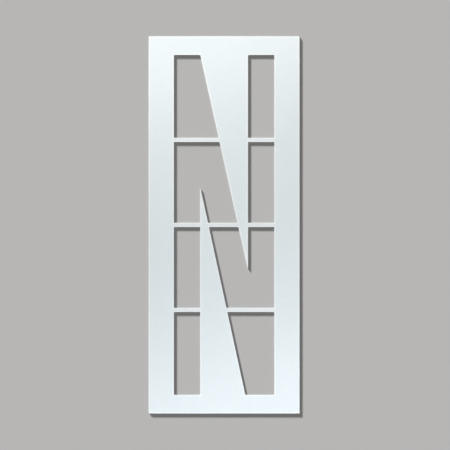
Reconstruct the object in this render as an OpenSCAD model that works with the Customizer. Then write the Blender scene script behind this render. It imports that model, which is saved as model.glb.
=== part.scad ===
// Road marking stencil: one flat sheet of polyethylene with the capital letter N cut out of it.
// The sheet lies on the road with its underside at z = 0 and its middle at x = y = 0. The letter's
// head points along +Y. Paint goes on from above and reaches the road through the openings.
//
// What is left standing inside the letter is part of the same sheet: two long wedges fill the
// spaces between the letter's strokes, and rows of narrow bridges tie them to the border.

/* [Letter] */
// Height of the letter, from head to foot
letter_h = 1828.8; // [1200:0.1:2500]
// Width of the letter over both stems
letter_w = 541; // [460:1:700]
// Width of each upright stem
stem_w = 142; // [90:1:170]
// Width of the diagonal, measured along the letter's head line
diagonal_head_w = 154; // [120:1:200]
// Width of the diagonal, measured along the letter's foot line
diagonal_foot_w = 164; // [120:1:200]
// How far past the letter's foot corner the diagonal's upper edge aims
diagonal_overrun = 7; // [0:1:20]

/* [Sheet] */
// Thickness of the sheet
sheet_t = 3.2; // [1.5:0.1:6.4]
// Border left and right of the letter
side_margin = 135; // [60:1:250]
// Border above the letter's head and below its foot
end_margin = 100; // [50:1:200]
// Radius of the sheet's outer corners
corner_r = 3; // [0.5:0.5:30]

/* [Bridges] */
// Rows of bridges, evenly spaced from head to foot
bridge_rows = 3; // [1:1:5]
// Width of each bridge
bridge_w = 22; // [10:1:40]

/* [Cutter] */
// Radius that the cutter leaves in the corners of the openings
cutter_r = 3; // [0.5:0.5:8]
// Radius of the tips of the two wedges
tip_r = 1; // [0.2:0.1:3]

/* [Hidden] */

$fn = 48;
sheet_colour = "#e1e9eb";

// How far a shape runs on into the material behind the edge that it meets
overrun = 1;
// How far a corner's arc is sunk into its two sides, in radii, so that it crosses them
sunk_share = 0.005;

sheet_w = letter_w + 2 * side_margin;
sheet_l = letter_h + 2 * end_margin;

// Outer edges of the letter, and the inner edges of its two stems
head_y = letter_h / 2;
foot_y = -letter_h / 2;
left_x = -letter_w / 2;
right_x = letter_w / 2;
left_stem_x = left_x + stem_w;
right_stem_x = right_x - stem_w;

// The diagonal's two edges, each from its end on the head line to its end on the foot line
upper_edge = [[left_stem_x, head_y], [right_x + diagonal_overrun, foot_y]];
lower_edge = [upper_edge[0] - [diagonal_head_w, 0], upper_edge[1] - [diagonal_foot_w, 0]];

// The point where each edge of the diagonal runs into a stem is the tip of a wedge
upper_tip = [right_stem_x, edge_y(upper_edge, right_stem_x)];
lower_tip = [left_stem_x, edge_y(lower_edge, left_stem_x)];

row_pitch = letter_h / (bridge_rows + 1);

// Sideways run of an edge for each unit that it climbs
function lean(edge) = (edge[1].x - edge[0].x) / (edge[1].y - edge[0].y);
function edge_x(edge, y) = edge[0].x + lean(edge) * (y - edge[0].y);
function edge_y(edge, x) = edge[0].y + (x - edge[0].x) / lean(edge);
function unit(v) = v / norm(v);
function climb(edge) = unit([lean(edge), 1]);

// Middle line of a row of bridges, counted from 1 at the head
function row_y(row) = head_y - row * row_pitch;
function clear_of_bridges(y) =
    min([for (row = [1 : bridge_rows]) abs(y - row_y(row))]) > bridge_w / 2 + tip_r;

// The straight ends of the openings, as [y, way into the opening along Y]
function end_lines() = concat(
    [[head_y, -1], [foot_y, 1]],
    [for (row = [1 : bridge_rows], way = [-1, 1]) [row_y(row) + way * bridge_w / 2, way]]
);

// The edges of the letter's strokes at a height, as [x, way into the opening along X, direction]
function stroke_edges(y) = concat(
    [[left_x, 1, [0, 1]], [right_x, -1, [0, 1]]],
    y < lower_tip.y ? [[left_stem_x, -1, [0, 1]], [edge_x(lower_edge, y), 1, climb(lower_edge)]] : [],
    y > upper_tip.y ? [[right_stem_x, 1, [0, 1]], [edge_x(upper_edge, y), -1, climb(upper_edge)]] : []
);

// What lies between a sharp corner and the arc that rounds it. The corner is at p, and u and v are
// the directions of its two sides.
module corner_sliver(p, u, v, r) {
    half_angle = acos(u * v) / 2;
    inward = unit(u + v);
    centre = p + inward * r * (1 - sunk_share) / sin(half_angle);
    behind = centre - inward * (r + overrun) / sin(half_angle);
    side = (r + overrun) / tan(half_angle);
    difference() {
        polygon([behind, behind + side * u, centre, behind + side * v]);
        translate(centre) circle(r);
    }
}

// The sheet before the letter is cut, with its outer corners rounded
module blank() {
    difference() {
        square([sheet_w, sheet_l], center = true);
        for (sx = [-1, 1], sy = [-1, 1])
            corner_sliver([sx * sheet_w, sy * sheet_l] / 2, [-sx, 0], [0, -sy], corner_r);
    }
}

// The wedge that hangs from the head border, between the diagonal and the right stem
module upper_wedge() {
    difference() {
        polygon([
            upper_edge[0],
            upper_edge[0] + [0, overrun],
            [right_stem_x, head_y + overrun],
            upper_tip
        ]);
        if (clear_of_bridges(upper_tip.y))
            corner_sliver(upper_tip, [0, 1], climb(upper_edge), tip_r);
    }
}

// The wedge that stands on the foot border, between the left stem and the diagonal
module lower_wedge() {
    difference() {
        polygon([
            lower_edge[1],
            lower_edge[1] - [0, overrun],
            [left_stem_x, foot_y - overrun],
            lower_tip
        ]);
        if (clear_of_bridges(lower_tip.y))
            corner_sliver(lower_tip, [0, -1], -climb(lower_edge), tip_r);
    }
}

// One row of the strips that tie the wedges to the border, across the whole letter
module bridge_row(row) {
    translate([0, row_y(row)]) square([letter_w + 2 * overrun, bridge_w], center = true);
}

// The rounding that the cutter leaves in every corner of every opening
module cutter_corners() {
    for (end = end_lines(), edge = stroke_edges(end[0]))
        corner_sliver([edge[0], end[0]], [edge[1], 0], end[1] * edge[2], cutter_r);
}

// All the openings of the letter together
module openings() {
    difference() {
        square([letter_w, letter_h], center = true);
        upper_wedge();
        lower_wedge();
        for (row = [1 : bridge_rows]) bridge_row(row);
        cutter_corners();
    }
}

module stencil_sheet() {
    color(sheet_colour)
    linear_extrude(sheet_t)
    difference() {
        blank();
        openings();
    }
}

stencil_sheet();
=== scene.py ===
from math import ceil, cos, pi, radians, sin, tan

import bpy
import numpy as np
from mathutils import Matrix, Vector
from mathutils.geometry import delaunay_2d_cdt


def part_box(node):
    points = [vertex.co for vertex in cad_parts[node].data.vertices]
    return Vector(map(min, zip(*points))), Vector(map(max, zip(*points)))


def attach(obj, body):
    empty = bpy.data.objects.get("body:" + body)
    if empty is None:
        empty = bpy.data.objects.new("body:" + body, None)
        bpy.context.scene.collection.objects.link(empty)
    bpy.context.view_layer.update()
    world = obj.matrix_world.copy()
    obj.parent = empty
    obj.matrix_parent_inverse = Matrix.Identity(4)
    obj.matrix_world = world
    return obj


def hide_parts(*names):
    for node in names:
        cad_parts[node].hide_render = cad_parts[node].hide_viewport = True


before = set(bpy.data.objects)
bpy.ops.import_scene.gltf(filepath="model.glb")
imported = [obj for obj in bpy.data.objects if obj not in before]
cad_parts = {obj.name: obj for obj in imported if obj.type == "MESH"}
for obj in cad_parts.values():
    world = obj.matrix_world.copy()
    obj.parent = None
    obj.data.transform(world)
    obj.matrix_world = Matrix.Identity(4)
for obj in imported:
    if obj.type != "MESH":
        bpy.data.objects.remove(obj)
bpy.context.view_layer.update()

# The sheet: one piece of natural low-density polyethylene, extruded flat, satin on both faces.
# A router cut the letter and the outline in one setting, so the openings' corners keep the cutter's
# radius, and the sharp edges were broken by hand. It lies loose, fixed by nothing.
MM = 0.001  # every length below is in metres
EDGE_EASE = 0.5 * MM
EASE_STEPS = 3
SIDE_STEP = 20 * MM
MICROMETRE_PLACES = 6
low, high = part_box("stencil_sheet")


def pairs_round(ring):
    """Each member of a closed ring with the one after it."""
    return zip(ring, ring[1:] + ring[:1])


def top_face_loops(mesh):
    """Closed loops of points along the edges of the top face, with the sheet on the left of each step."""
    steps = set()
    for face in mesh.polygons:
        corners = [mesh.vertices[i].co for i in face.vertices]
        if min(c.z for c in corners) > (low.z + high.z) / 2:
            points = [(round(c.x, MICROMETRE_PLACES), round(c.y, MICROMETRE_PLACES)) for c in corners]
            steps.update(pairs_round(points))
    following = {a: b for a, b in steps if (b, a) not in steps}
    loops = []
    while following:
        loop = [min(following)]
        while loop[-1] in following:
            loop.append(following.pop(loop[-1]))
        loops.append([Vector(p) for p in loop[:-1]])
    return loops


def divided(loop):
    """The loop with points added along its straight sides."""
    points = []
    for a, b in pairs_round(loop):
        count = ceil((b - a).length / SIDE_STEP)
        points += [a.lerp(b, k / count) for k in range(count)]
    return points


def inset(loop, distance):
    """The loop moved sideways into the sheet, with its corners mitred."""
    points = []
    for before, here, after in zip(loop[-1:] + loop[:-1], loop, loop[1:] + loop[:1]):
        way_in, way_out = (here - before).normalized(), (after - here).normalized()
        left = way_in.orthogonal() + way_out.orthogonal()
        points.append(here + left * (2 * distance / left.length_squared))
    return points


# The outlines go round the sheet and its openings, and the rims are where its flat faces end
outlines = [divided(loop) for loop in top_face_loops(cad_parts["stencil_sheet"].data)]
rims = [inset(loop, EDGE_EASE) for loop in outlines]
rim_sides = np.array([side for rim in rims for side in pairs_round(rim)])
rim_starts, rim_ends = rim_sides[:, 0], rim_sides[:, 1]


def rim_distance(point):
    """Distance from a point to the nearest rim."""
    along = rim_ends - rim_starts
    share = np.clip(((np.array(point) - rim_starts) * along).sum(1) / (along * along).sum(1), 0, 1)
    return np.linalg.norm(rim_starts + along * share[:, None] - np.array(point), axis=1).min()


def on_face(point):
    """Whether a point lies on a flat face and not in an opening: an odd number of rims pass to its right."""
    crosses = (rim_starts[:, 1] > point[1]) != (rim_ends[:, 1] > point[1])
    a, b = rim_starts[crosses], rim_ends[crosses]
    x = a[:, 0] + (b[:, 0] - a[:, 0]) * (point[1] - a[:, 1]) / (b[:, 1] - a[:, 1])
    return np.count_nonzero(x > point[0]) % 2 == 1


# The wall of every cut, from the top face over the eased edge and down to the underside
turns = [k * pi / 2 / EASE_STEPS for k in range(EASE_STEPS + 1)]
eased = [(EDGE_EASE * (1 - sin(a)), EDGE_EASE * (1 - cos(a))) for a in turns]
wall = [(side, high.z - drop) for side, drop in eased]
wall += [(side, low.z + drop) for side, drop in reversed(eased)]

SATIN, ROUTED = 0, 1
vertices, faces, finishes, from_edge = [], [], [], []
top_rims, under_rims = [], []
for loop in outlines:
    rows = []
    for side, z in wall:
        rows.append(list(range(len(vertices), len(vertices) + len(loop))))
        vertices += [(p.x, p.y, z) for p in inset(loop, side)]
        from_edge += [0.0] * len(loop)
    for upper, lower in zip(rows, rows[1:]):
        for (a, b), (c, d) in zip(pairs_round(lower), pairs_round(upper)):
            faces.append((a, b, d, c))
            finishes.append(ROUTED)
    top_rims.append(rows[0])
    under_rims.append(rows[-1])

# The two flat faces, with rows of points beside every rim that carry how far they are from the cut.
# A row leaves out a point that another rim comes nearer to, as in the tips of the wedges.
# The rows' distances lay out the band of edge whitening and painted edge highlight in the satin material.
EDGE_BAND_ROWS = [3 * MM, 6 * MM, 10 * MM]
NEARER = 0.98
SAME_POINT = 1e-7
for z, face_rims in ((high.z, top_rims), (low.z, under_rims)):
    own = [k for rim in face_rims for k in rim]
    links = [pair for rim in face_rims for pair in pairs_round(rim)]
    for depth in EDGE_BAND_ROWS:
        for rim in rims:
            row = []
            for p in inset(rim, depth):
                clear = on_face(p) and rim_distance(p) > NEARER * depth
                row.append(len(vertices) if clear else None)
                if clear:
                    own.append(len(vertices))
                    vertices.append((p.x, p.y, z))
                    from_edge.append(depth / EDGE_BAND_ROWS[-1])
            links += [pair for pair in pairs_round(row) if None not in pair]
    place_of = {k: place for place, k in enumerate(own)}
    flat = [Vector(vertices[k][:2]) for k in own]
    flat_links = [(place_of[a], place_of[b]) for a, b in links]
    points, _, triangles, sources, _, _ = delaunay_2d_cdt(flat, flat_links, [], 0, SAME_POINT)
    for triangle in triangles:
        if on_face(np.mean([points[i] for i in triangle], axis=0)):
            corners = [own[sources[i][0]] for i in triangle]
            faces.append(corners if z == high.z else corners[::-1])
            finishes.append(SATIN)


def placed(name, data):
    """A new object in the scene."""
    made = bpy.data.objects.new(name, data)
    bpy.context.scene.collection.objects.link(made)
    return made


mesh = bpy.data.meshes.new("polyethylene_sheet")
mesh.from_pydata(vertices, [], faces)
mesh.polygons.foreach_set("material_index", finishes)
mesh.polygons.foreach_set("use_smooth", [finish == ROUTED for finish in finishes])
mesh.attributes.new("from_edge", "FLOAT", "POINT").data.foreach_set("value", from_edge)
mesh.validate()
sheet = placed("polyethylene_sheet", mesh)


def linear(colour):
    """An sRGB hex colour as linear red, green, blue and alpha."""
    shares = [int(colour[i:i + 2], 16) / 255 for i in (1, 3, 5)]
    return [c / 12.92 if c <= 0.04045 else ((c + 0.055) / 1.055) ** 2.4 for c in shares] + [1]


def empty_tree(owner):
    """The node tree of a material or a world, with nothing in it yet."""
    owner.use_nodes = True
    owner.node_tree.nodes.clear()
    return owner.node_tree


def add(tree, kind, settings, links=None):
    """Adds a node, sets its properties and sockets by name or number, and links sockets to others."""
    node = tree.nodes.new("ShaderNode" + kind)
    for name, value in settings.items():
        if isinstance(name, int) or name in node.inputs:
            node.inputs[name].default_value = value
        else:
            setattr(node, name, value)
    for name, source in (links or {}).items():
        tree.links.new(source, node.inputs[name])
    return node


# A Mix node's colour sockets share their names with its number sockets, so they go by number
FIRST, SECOND, MIXED = 6, 7, 2

# Satin polyethylene, extruded and cooled on rollers: milky and faintly blue, as light seeps a millimetre
# or so into it, with a waxy sheen that hides most of the light's shape.
POLYETHYLENE = {
    "IOR": 1.51, "Subsurface Weight": 0.3, "Subsurface Radius": (1, 1, 1), "Subsurface Scale": 1 * MM,
}
CLOUD_SIZE = 300 * MM
satin = bpy.data.materials.new("satin_polyethylene")
tree = empty_tree(satin)
spot = add(tree, "TexCoord", {}).outputs["Object"]
clouds = add(tree, "TexNoise", {"Scale": 1 / CLOUD_SIZE, "Detail": 2}, {"Vector": spot})
body = add(
    tree, "Mix", {"data_type": "RGBA", FIRST: linear("#dfe7e9"), SECOND: linear("#e3eaec")},
    {"Factor": clouds.outputs[0]},
)

# The die's long shallow lines run down the sheet, some 45 mm apart
DIE_LINE_GAP = 45 * MM
DIE_LINE_RUN = 1500 * MM
down = add(tree, "Mapping", {"Scale": (1, DIE_LINE_GAP / DIE_LINE_RUN, 1)}, {"Vector": spot})
die_lines = add(tree, "TexNoise", {"Scale": 1 / DIE_LINE_GAP, "Detail": 1}, {"Vector": down.outputs[0]})

# The rollers' matt grain is finer than 1 mm, and is drawn 6 mm wide so that it shows
GRAIN_WIDTH = 6 * MM
grain = add(tree, "TexNoise", {"Scale": 1 / GRAIN_WIDTH, "Detail": 2}, {"Vector": spot})

# Handling leaves a few hairline scuffs, slightly bent, that run in several directions. They are a fraction
# of a millimetre wide, and are drawn about 1 mm wide so that they show.
SCUFF_GAP = 3 * MM
SCUFF_RUN = 120 * MM
BEND_SIZE = 200 * MM
BEND_REACH = 60 * MM
SCUFF_FADES_IN = {"From Min": 0.76, "From Max": 0.84}
SCUFF_STRENGTH = 0.6
bends = add(tree, "TexNoise", {"Scale": 1 / BEND_SIZE, "Detail": 1}, {"Vector": spot})
bent = add(
    tree, "VectorMath", {"operation": "MULTIPLY_ADD", 1: (BEND_REACH, BEND_REACH, 0)},
    {0: bends.outputs["Color"], 2: spot},
)
scuffs = None
for turn in (25, -40, 75):
    stretch = {"Rotation": (0, 0, radians(turn)), "Scale": (1, SCUFF_RUN / SCUFF_GAP, 1)}
    turned = add(tree, "Mapping", {"vector_type": "TEXTURE", **stretch}, {"Vector": bent.outputs[0]})
    streaks = add(tree, "TexNoise", {"Scale": 1 / SCUFF_GAP, "Detail": 0}, {"Vector": turned.outputs[0]})
    marks = add(tree, "MapRange", SCUFF_FADES_IN, {"Value": streaks.outputs[0]})
    if scuffs:
        marks = add(tree, "Math", {"operation": "MAXIMUM"}, {0: scuffs.outputs[0], 1: marks.outputs[0]})
    scuffs = marks
faint = add(tree, "Math", {"operation": "MULTIPLY", 1: SCUFF_STRENGTH}, {0: scuffs.outputs[0]})
scuffed = add(
    tree, "Mix", {"data_type": "RGBA", SECOND: linear("#eff3f4")},
    {"Factor": faint.outputs[0], FIRST: body.outputs[MIXED]},
)

# The edges are whitened where the cutter strained them, and drawn whiter and wider than that as a painted
# highlight along every edge. The whitening fades out a few millimetres from the cut, unevenly.
UNEVENNESS = 0.5
edge = add(tree, "Attribute", {"attribute_name": "from_edge"})
uneven = add(
    tree, "Math", {"operation": "MULTIPLY_ADD", 1: UNEVENNESS, 2: -UNEVENNESS / 2}, {0: grain.outputs[0]},
)
away_from_edge = add(
    tree, "Math", {"operation": "ADD", "use_clamp": True}, {0: edge.outputs["Fac"], 1: uneven.outputs[0]},
)
# The whitening colour is partly the cutter's strain and partly a painted highlight along the edges.
whitened_and_highlit = add(
    tree, "Mix", {"data_type": "RGBA", FIRST: linear("#f2f4f4")},
    {"Factor": away_from_edge.outputs[0], SECOND: scuffed.outputs[MIXED]},
)

# The die lines vary the sheen a little, and the scuffs dull it. A noise lies mostly between 0.3 and 0.7.
NOISE_SPAN = {"From Min": 0.3, "From Max": 0.7}
SCUFF_DULLS = 0.1
GRAIN_SHARE = 0.5
RELIEF = 0.1 * MM
lined = add(
    tree, "MapRange", {**NOISE_SPAN, "To Min": 0.385, "To Max": 0.415}, {"Value": die_lines.outputs[0]},
)
rough = add(
    tree, "Math", {"operation": "MULTIPLY_ADD", 1: SCUFF_DULLS}, {0: scuffs.outputs[0], 2: lined.outputs[0]},
)
relief = add(
    tree, "Math", {"operation": "MULTIPLY_ADD", 1: GRAIN_SHARE},
    {0: grain.outputs[0], 2: die_lines.outputs[0]},
)
bump = add(tree, "Bump", {"Distance": RELIEF}, {"Height": relief.outputs[0]})
shader = add(
    tree, "BsdfPrincipled", POLYETHYLENE,
    {"Base Color": whitened_and_highlit.outputs[MIXED], "Roughness": rough.outputs[0], "Normal": bump.outputs[0]},
)
add(tree, "OutputMaterial", {}, {"Surface": shader.outputs[0]})
mesh.materials.append(satin)

# Routed polyethylene: the cutter's teeth leave a whiter, duller wall with upright chatter marks.
# The real marks are under 1 mm apart, and are drawn 3 mm apart so that they show.
CHATTER_GAP = 3 * MM
routed = bpy.data.materials.new("routed_polyethylene")
tree = empty_tree(routed)
spot = add(tree, "TexCoord", {}).outputs["Object"]
upright = add(tree, "Mapping", {"Scale": (1, 1, 0)}, {"Vector": spot})
chatter = add(tree, "TexNoise", {"Scale": 1 / CHATTER_GAP, "Detail": 2}, {"Vector": upright.outputs[0]})
strained = add(
    tree, "Mix", {"data_type": "RGBA", FIRST: linear("#e6ecee"), SECOND: linear("#f4f6f6")},
    {"Factor": chatter.outputs[0]},
)
rough = add(tree, "MapRange", {**NOISE_SPAN, "To Min": 0.5, "To Max": 0.65}, {"Value": chatter.outputs[0]})
bump = add(tree, "Bump", {"Distance": RELIEF}, {"Height": chatter.outputs[0]})
shader = add(
    tree, "BsdfPrincipled", POLYETHYLENE,
    {"Base Color": strained.outputs[MIXED], "Roughness": rough.outputs[0], "Normal": bump.outputs[0]},
)
add(tree, "OutputMaterial", {}, {"Surface": shader.outputs[0]})
mesh.materials.append(routed)

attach(sheet, "root")
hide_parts("stencil_sheet")

# The floor: plain pale studio paper, darker than the sheet so that the letter reads.
# It runs on far past the sheet, and lies a hair below it.
FLOOR_REACH = 30
FLOOR_GAP = 0.1 * MM
floor_mesh = bpy.data.meshes.new("studio_floor")
floor_z = low.z - FLOOR_GAP
corners = [(x * FLOOR_REACH, y * FLOOR_REACH, floor_z) for x, y in ((-1, -1), (1, -1), (1, 1), (-1, 1))]
floor_mesh.from_pydata(corners, [], [(0, 1, 2, 3)])
floor = placed("studio_floor", floor_mesh)

paper = bpy.data.materials.new("pale_studio_paper")
tree = empty_tree(paper)
matt = add(tree, "BsdfPrincipled", {"Base Color": linear("#cbcac9"), "Roughness": 0.9})
add(tree, "OutputMaterial", {}, {"Surface": matt.outputs[0]})
floor_mesh.materials.append(paper)

# The light: an even pale room, a soft box over each end of the sheet, and a low lamp far to the upper
# left. The room's backdrop is the same pale grey as the lit floor, so that no horizon shows in a low view.
ROOM_STRENGTH = 0.25
world = bpy.data.worlds.new("pale_room")
bpy.context.scene.world = world
tree = empty_tree(world)
room = add(tree, "Background", {"Color": linear("#ffffff"), "Strength": ROOM_STRENGTH})
backdrop = add(tree, "Background", {"Color": linear("#b7b6b5")})

# The backdrop shows to the camera and in the sheet's sheen, and the room lights everything else
path = add(tree, "LightPath", {}).outputs
mirrored = add(
    tree, "Math", {"operation": "ADD"}, {0: path["Is Glossy Ray"], 1: path["Is Transmission Ray"]},
)
seen = add(
    tree, "Math", {"operation": "ADD", "use_clamp": True},
    {0: path["Is Camera Ray"], 1: mirrored.outputs[0]},
)
surroundings = add(
    tree, "MixShader", {}, {0: seen.outputs[0], 1: room.outputs[0], 2: backdrop.outputs[0]},
)
add(tree, "OutputWorld", {}, {"Surface": surroundings.outputs[0]})


def lamp(name, kind, place, aim, lit, settings):
    """A lamp that lights one object alone, and that the camera doesn't see."""
    data = bpy.data.lights.new(name, kind)
    for setting, value in settings.items():
        setattr(data, setting, value)
    made = placed(name, data)
    made.location = place
    made.rotation_euler = (Vector(aim) - Vector(place)).to_track_quat("-Z", "Y").to_euler()
    made.visible_camera = False
    made.light_linking.receiver_collection = bpy.data.collections.new("lit_by_" + name)
    made.light_linking.receiver_collection.objects.link(lit)
    return made


# The low lamp's shadow is several times as wide as the sheet is thick. It is two lamps in one place, so
# that the shadow is deep and yet the cut walls that face it don't clip to white.
KEY_ELEVATION = radians(6.3)
KEY_SPREAD = radians(3)
upper_left = Vector((-0.78, 1, 0))
key_place = upper_left + Vector((0, 0, upper_left.length * tan(KEY_ELEVATION)))
for name, lit, strength in (("shadow_key", floor, 15.6), ("edge_key", sheet, 1.5)):
    key = lamp(name, "SUN", key_place, (0, 0, 0), lit, {"energy": strength, "angle": KEY_SPREAD})
    key.visible_glossy = False

# The soft boxes light the sheet alone, because they stand so close that they would leave pools of light
# on the floor. Each aims at a point part of the way out from the sheet's middle.
BOX_WIDTH = 3
BOX_HEIGHT = 1.2
AIM_X, AIM_Y = 0.3, 0.5
for name, x, y, depth, watts, colour in (
    ("head_soft_box", -0.22, 1.27, 0.8, 21.7, "#fffdfb"),
    ("foot_soft_box", 0.24, -1.26, 0.9, 21.5, "#f9fcff"),
):
    settings = {"shape": "RECTANGLE", "size": BOX_WIDTH, "size_y": depth}
    settings.update(energy=watts, color=linear(colour)[:3])
    lamp(name, "AREA", (x, y, BOX_HEIGHT), (AIM_X * x, AIM_Y * y, 0), sheet, settings)

# The camera: straight above the sheet, with a long lens, so that the sheet's sides stay parallel and
# the walls of its openings don't show.
LENS_MM = 135
SENSOR_MM = 36
IMAGE_PIXELS = 450
MM_PER_PIXEL = 5.379
SHEET_MIDDLE_PIXEL = Vector((224.1, 224.9))
camera_data = bpy.data.cameras.new("overhead_camera")
camera_data.lens = LENS_MM
camera_data.sensor_width = SENSOR_MM
camera = placed("overhead_camera", camera_data)
frame_width = IMAGE_PIXELS * MM_PER_PIXEL * MM
shift = (Vector((IMAGE_PIXELS, IMAGE_PIXELS)) / 2 - SHEET_MIDDLE_PIXEL) * MM_PER_PIXEL * MM
camera.location = (shift.x, -shift.y, high.z + frame_width * LENS_MM / SENSOR_MM)
bpy.context.scene.camera = camera
bpy.context.scene.view_settings.view_transform = "Standard"
